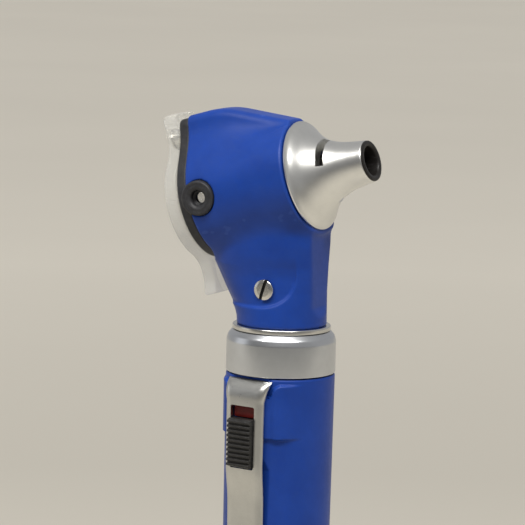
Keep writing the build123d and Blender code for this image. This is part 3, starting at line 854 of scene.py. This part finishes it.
# ------------------------------------------------------------------ pocket clip in one strip
def clip_mesh():
    no = catmull([(9.6, -0.6), (10.15, -0.95), (10.72, -1.55), (11.18, -2.4), (11.42, -3.3), (11.5, -4.4), (11.5, -8.0),
                  (11.5, -12.0), (11.5, -15.8), (11.42, -17.4), (11.22, -18.95), (11.0, -20.5), (10.8, -22.4), (10.64, -27.0),
                  (10.58, -38.0), (10.54, -52.0), (10.5, -65.5), (10.66, -69.5), (10.98, -73.0), (11.38, -76.2)], 8)
    no = np.array(no)
    ni = np.array([(8.95, -0.6), (9.3, -1.3), (9.75, -2.0), (10.05, -2.8), (10.17, -3.6), (10.17, -16.4), (10.02, -18.2),
                   (9.9, -19.4), (9.62, -22.0), (9.45, -30.0), (9.4, -50.0), (9.36, -66.3), (9.74, -70.3), (9.80, -71.8),
                   (9.95, -73.2), (10.45, -75.2), (10.95, -76.2)])
    zz = np.concatenate([np.arange(-0.6, -5.0, -0.22), np.arange(-5.0, -17.0, -0.6), np.arange(-17.0, -23.0, -0.3),
                         np.arange(-23.0, -65.0, -1.75), np.arange(-65.0, -76.0, -0.45), [-76.2]])
    o = np.interp(-zz, -no[:, 1], no[:, 0])
    i = np.interp(-zz, -ni[:, 1], ni[:, 0])
    # soften the inner line
    for _ in range(3):
        i[1:-1] = 0.25 * i[:-2] + 0.5 * i[1:-1] + 0.25 * i[2:]
    half = np.interp(-zz, [0.6, 2.0, 4.5, 12, 22, 40, 66, 73, 76.2], [4.75, 4.5, 4.02, 3.95, 3.9, 3.85, 3.8, 3.75, 3.35])
    u = np.concatenate([np.linspace(-1, -0.62, 9), np.linspace(-0.5, 0.5, 7), np.linspace(0.62, 1, 9)])
    rows = []
    for z, a, b, h in zip(zz, o, i, half):
        s = np.abs(u) * h - (h - 1.35)
        d = np.where(s > 0, 0.80 * (1 - np.sqrt(np.clip(1 - (np.clip(s, 0, 1.35) / 1.36) ** 2, 0, 1))), 0)
        d = np.minimum(d, (a - b) * 0.66)
        crown = 0.05 * u * u
        top = np.stack([u * h, a - d - crown, np.full_like(u, z + ZC)], 1)
        ub = np.array([1.0, 0.96, 0.6, 0.2, -0.2, -0.6, -0.96, -1.0])
        nb = np.array([b + 0.12, b, b, b, b, b, b, b + 0.12])
        bot = np.stack([ub * h, nb, np.full(8, z + ZC)], 1)
        rows.append(np.concatenate([top, bot]))
    n = len(rows[0])
    V = from_clip(np.concatenate(rows))
    F = []
    for r in range(len(rows) - 1):
        for k in range(n):
            j = (k + 1) % n
            F.append((r * n + k, r * n + j, (r + 1) * n + j, (r + 1) * n + k))
    F.append(tuple(range(n)))
    last = (len(rows) - 1) * n
    F.append(tuple(range(last, last + n))[::-1])
    ob = make("pocket_clip", V, F, 40.0)
    o = fillet([(9.0, ZC - 16.7, 0), (13.0, ZC - 16.7, 0), (13.0, ZC - 5.2, 0), (9.0, ZC - 5.2, 0)], 1)
    v, f = [], []
    outl = fillet([(-2.62, ZC - 16.7, 0.35), (2.62, ZC - 16.7, 0.35), (2.62, ZC - 5.2, 0.35), (-2.62, ZC - 5.2, 0.35)], 4)
    m = len(outl)
    for d in (9.0, 13.0):
        v += [(a, d, b) for a, b in outl]
    f = [tuple(range(m))[::-1], tuple(range(m, 2 * m))]
    f += [(i, (i + 1) % m, m + (i + 1) % m, m + i) for i in range(m)]
    cut(ob, make("cutter", from_clip(np.array(v)), f), sharp=40.0)
    return ob


clip = clip_mesh()
clip.data.materials.append(CLIP_MET)
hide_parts("clip_head", "clip_blade")
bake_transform(clip)

# ------------------------------------------------------------------ slide switch
ribs = [(10.62, -16.38, 0.0), (12.0, -16.38, 0.15), (12.28, -16.3, 0.1)]
N = 10
for k in range(N):
    z0 = -16.3 + k * 0.875
    ribs += [(12.36, z0 + 0.04, 0.03), (12.80, z0 + 0.20, 0.14), (12.80, z0 + 0.56, 0.14), (12.36, z0 + 0.74, 0.05)]
ribs += [(12.30, -7.52, 0.15), (10.62, -7.52, 0.0)]
sl = prism("switch_slider_black", [(p[0], p[1] + ZC) for p in fillet(ribs, 3)], -2.46, 2.46, from_clip)
bevel(sl, 0.10, 2, 55.0)
stem = prism("stem", [(8.4, ZC - 14.1), (10.8, ZC - 14.1), (10.8, ZC - 10.0), (8.4, ZC - 10.0)], -1.3, 1.3, from_clip)
m = sl.modifiers.new("join", 'BOOLEAN')
m.operation = 'UNION'
m.object = stem
m.solver = 'EXACT'
apply_mods(sl, 35.0)
bpy.data.objects.remove(stem)
own(sl, "switch", "black_plastic", SLIDER, "switch_slider")

flag = prism("switch_flag_red", fillet([(10.15, ZC - 7.4, 0), (10.5, ZC - 7.4, 0.06), (10.56, ZC - 6.9, 0.3), (10.56, ZC - 5.8, 0.3),
                                        (10.5, ZC - 5.26, 0.06), (10.15, ZC - 5.26, 0)], 3), -2.4, 2.4, from_clip)
own(flag, "handle", "red_plastic", RED, "switch_indicator")

# ------------------------------------------------------------------ tail cap
o = [(0, 0.0, 0), (8.7, 0.0, 0.25), (9.25, 0.25, 0.3), (9.55, 0.85, 0.3)]
for k in range(5):
    z = 2.6 + k * 1.8
    o += [(9.55, z - 0.34, 0.08), (9.30, z - 0.16, 0.05), (9.30, z + 0.16, 0.05), (9.55, z + 0.34, 0.08)]
o += [(9.55, 11.7, 0.2), (9.3, 11.98, 0.1), (8.38, 11.98, 0)]
for k in range(5):
    z = 14.0 + k * 1.0
    o += [(8.38, z - 0.3, 0), (8.16, z - 0.05, 0.03), (8.16, z + 0.05, 0.03), (8.38, z + 0.3, 0)]
o += [(8.38, 18.6, 0), (8.0, 19.0, 0), (7.42, 19.0, 0.05), (7.42, 2.0, 0), (0, 2.0, 0)]
tcap = lathe("tail_cap_satin", fillet(o, 3), 224)
own(tcap, "tail", "satin_aluminium", CAP_MET, "tail_cap")

# ------------------------------------------------------------------ finishes on the CAD pieces that stay
# cone_gasket takes the near-black rubber as painted shade for the shadow gap behind the trumpet's rim
for node, mat in {
    "cone_gasket": RUBBER_AND_GAP_SHADE, "cone_seat_ring": NECK_MET, "lens_washer": BLACK, "neck_insert": NECK_MET, "lamp_insulator": WHITE, "lamp_cap": BRASS,
    "lamp_bulb": GLASS, "lamp_contact": BRASS, "contact_holder": BLACK, "centre_contact": BRASS, "switch_leaf": BRASS,
    "upper_contact_plate": BRASS, "cell_lower": CELL, "cell_upper": CELL, "return_strip": BRASS, "switch_bridge": BRASS,
    "tail_contact_cup": BRASS, "tail_spring": STEEL, "tail_cap_seal": RUBBER_AND_GAP_SHADE,
}.items():
    paint(node, mat)

# ------------------------------------------------------------------ floor
ft = Tree("pale_floor")
fn = ft.noise(0.004, 3, 0.5)
fl = ft.node('ShaderNodeVectorMath', operation='LENGTH')
ft.link(ft.p, fl.inputs[0])
fc = (0.590, 0.556, 0.486)
# painted shade and light: the floor colour is darker near the object and brighter far out, evening out the key light's
# falloff
tone = ft.ramp(ft.span(fl.outputs['Value'], 0.0, 1.0, 450.0, 3300.0),
               [(0.03, tuple(x * 1.01 for x in fc)), (0.21, tuple(x * 1.38 for x in fc)), (0.70, tuple(x * 1.47 for x in fc))])
tone = ft.mix(ft.span(fn, 0.0, 0.06), tone, (0.50, 0.47, 0.41))
# painted shade: the floor on the camera side is darkened, fading in from 90 to 480 mm out, to give the metal parts a
# dark reflection band
fd = ft.node('ShaderNodeVectorMath', operation='DOT_PRODUCT')
fd.inputs[1].default_value = (0.452, -0.892, 0.0)
ft.link(ft.p, fd.inputs[0])
tone = ft.mix(ft.span(fd.outputs['Value'], 0.0, 1.0, 90.0, 480.0), tone, (0.31, 0.30, 0.275))
FLOOR = ft.put(base=tone, rough=0.9,
               normal=ft.bump(ft.noise(0.8, 3), 0.02, 0.2), spec=0.1)
me = bpy.data.meshes.new("floor")
me.from_pydata([(-14, -14, 0), (14, -14, 0), (14, 14, 0), (-14, 14, 0)], [], [(0, 1, 2, 3)])
floor = bpy.data.objects.new("floor", me)
bpy.context.scene.collection.objects.link(floor)
floor.location = (0, 0, -0.0003)
me.materials.append(FLOOR)

# ------------------------------------------------------------------ world and lights
world = bpy.data.worlds.new("studio")
bpy.context.scene.world = world
world.use_nodes = True
bg = world.node_tree.nodes["Background"]
wt = world.node_tree
wtc = wt.nodes.new('ShaderNodeTexCoord')
wdot = wt.nodes.new('ShaderNodeVectorMath')
wdot.operation = 'DOT_PRODUCT'
wdot.inputs[1].default_value = (-0.05, -0.95, -0.30)
wt.links.new(wtc.outputs['Generated'], wdot.inputs[0])
wr = wt.nodes.new('ShaderNodeValToRGB')
wmap = wt.nodes.new('ShaderNodeMapRange')
wmap.inputs['From Min'].default_value = -1.0
wmap.inputs['From Max'].default_value = 1.0
wt.links.new(wdot.outputs['Value'], wmap.inputs['Value'])
wt.links.new(wmap.outputs[0], wr.inputs[0])
wr.color_ramp.elements[0].position = 0.30
wr.color_ramp.elements[0].color = (0.54, 0.54, 0.545, 1)
wr.color_ramp.elements[1].position = 0.86
wr.color_ramp.elements[1].color = (0.22, 0.22, 0.225, 1)
wt.links.new(wr.outputs[0], bg.inputs[0])
bg.inputs[1].default_value = 0.75


def area(name, loc, target, size, power, color=(1, 1, 1), size_y=None):
    li = bpy.data.lights.new(name, 'AREA')
    li.energy = power
    li.color = color
    li.size = size
    if size_y:
        li.shape = 'RECTANGLE'
        li.size_y = size_y
    ob = bpy.data.objects.new(name, li)
    bpy.context.scene.collection.objects.link(ob)
    ob.location = loc
    ob.rotation_euler = (Vector(target) - Vector(loc)).to_track_quat('-Z', 'Y').to_euler()
    return ob


AIM = (0.0, 0.0, 0.145)
area("key", (0.16, -0.42, 0.92), AIM, 1.10, 8.2, (1.0, 0.985, 0.95), 0.12)
area("fill_left", (-0.85, -0.35, 0.35), AIM, 0.5, 0.5, (0.95, 0.97, 1.0))
sun = bpy.data.lights.new("sky_soft", 'SUN')
sun.energy = 0.98
sun.angle = math.radians(50)
sun.color = (1.0, 0.985, 0.955)
so = bpy.data.objects.new("sky_soft", sun)
bpy.context.scene.collection.objects.link(so)
so.rotation_euler = (math.radians(28), math.radians(8), 0)

# ------------------------------------------------------------------ camera
A, E, ROLL = math.radians(26.9), math.radians(7.8), math.radians(1.5)
b = np.array([math.sin(A) * math.cos(E), -math.cos(A) * math.cos(E), math.sin(E)])
r = np.array([math.cos(A), math.sin(A), 0.0])
u = np.cross(b, r)
rr = r * math.cos(ROLL) + u * math.sin(ROLL)
uu = -r * math.sin(ROLL) + u * math.cos(ROLL)
T = np.array([0, 0, ZC + 19.8]) - rr * (20.9 / 5.5)
C = (T + b * 600.0) * MM
cam = bpy.data.cameras.new("camera")
cam.sensor_width = 36.0
cam.lens = 3300.0 / 525.0 * 36.0
cam.clip_start = 0.02
cam.clip_end = 60.0
co = bpy.data.objects.new("camera", cam)
bpy.context.scene.collection.objects.link(co)
co.matrix_world = Matrix(((rr[0], uu[0], b[0], C[0]), (rr[1], uu[1], b[1], C[1]), (rr[2], uu[2], b[2], C[2]), (0, 0, 0, 1)))
bpy.context.scene.camera = co
bpy.context.scene.view_settings.view_transform = 'Standard'
